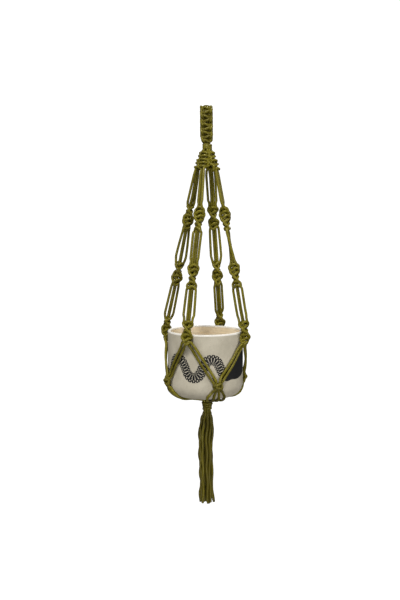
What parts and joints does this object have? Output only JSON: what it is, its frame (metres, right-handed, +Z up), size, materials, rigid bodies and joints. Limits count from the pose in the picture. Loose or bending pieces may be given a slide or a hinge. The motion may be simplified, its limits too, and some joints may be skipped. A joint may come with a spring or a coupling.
{
  "type": "hanging macrame planter",
  "caption": "Hanging planter: a straight-sided ceramic pot in a knotted olive cord hanger with a folded hanging loop, spiral sennits, a net round the pot and a tassel.",
  "frame": {"origin": "where a hook bears, at the top of the inside of the hanging loop", "axes": "+Z up, -Y towards the front, +X to the viewer's right"},
  "size_m": [0.1624, 0.1619, 0.7408],
  "materials": {
    "stoneware": "matt stoneware with a fine speckle, a paler lip, a tan inside and a dark printed band",
    "olive_cord": "satin braided cord"
  },
  "bodies": {
    "planter": {"crown_knots_back": "olive_cord", "crown_knots_front": "olive_cord", "crown_knots_left": "olive_cord", "crown_knots_right": "olive_cord", "filler_cord_back_1": "olive_cord", "filler_cord_back_2": "olive_cord", "filler_cord_front_1": "olive_cord", "filler_cord_front_2": "olive_cord", "filler_cord_left_1": "olive_cord", "filler_cord_left_2": "olive_cord", "filler_cord_right_1": "olive_cord", "filler_cord_right_2": "olive_cord", "gather_wrap": "olive_cord", "hanging_loop": "olive_cord", "middle_spiral_back": "olive_cord", "middle_spiral_front": "olive_cord", "middle_spiral_left": "olive_cord", "middle_spiral_right": "olive_cord", "net_cord_back_left_1": "olive_cord", "net_cord_back_left_2": "olive_cord", "net_cord_back_left_3": "olive_cord", "net_cord_back_left_4": "olive_cord", "net_cord_back_right_1": "olive_cord", "net_cord_back_right_2": "olive_cord", "net_cord_back_right_3": "olive_cord", "net_cord_back_right_4": "olive_cord", "net_cord_front_left_1": "olive_cord", "net_cord_front_left_2": "olive_cord", "net_cord_front_left_3": "olive_cord", "net_cord_front_left_4": "olive_cord", "net_cord_front_right_1": "olive_cord", "net_cord_front_right_2": "olive_cord", "net_cord_front_right_3": "olive_cord", "net_cord_front_right_4": "olive_cord", "net_knot_back_left": "olive_cord", "net_knot_back_right": "olive_cord", "net_knot_front_left": "olive_cord", "net_knot_front_right": "olive_cord", "rim_spiral_back": "olive_cord", "rim_spiral_front": "olive_cord", "rim_spiral_left": "olive_cord", "rim_spiral_right": "olive_cord", "top_wrap": "olive_cord", "upper_spiral_back": "olive_cord", "upper_spiral_front": "olive_cord", "upper_spiral_left": "olive_cord", "upper_spiral_right": "olive_cord"},
    "pot": {"pot": "stoneware"},
    "tassel_neck": {"tassel_neck": "olive_cord"},
    "tassel": {"tassel": "olive_cord"}
  },
  "joints": [
    {"name": "pot_turn", "type": "hinge", "parent": "planter", "child": "pot", "pos_m": [0, 0, -0.5236], "axis": [0, 0, 1], "continuous": true},
    {"name": "tassel_fore_aft", "type": "hinge", "parent": "planter", "child": "tassel_neck", "pos_m": [0, 0, -0.5596], "axis": [1, 0, 0], "range_deg": [-20, 20]},
    {"name": "tassel_side", "type": "hinge", "parent": "tassel_neck", "child": "tassel", "pos_m": [0, 0, -0.5596], "axis": [0, 1, 0], "range_deg": [-20, 20]}
  ]
}
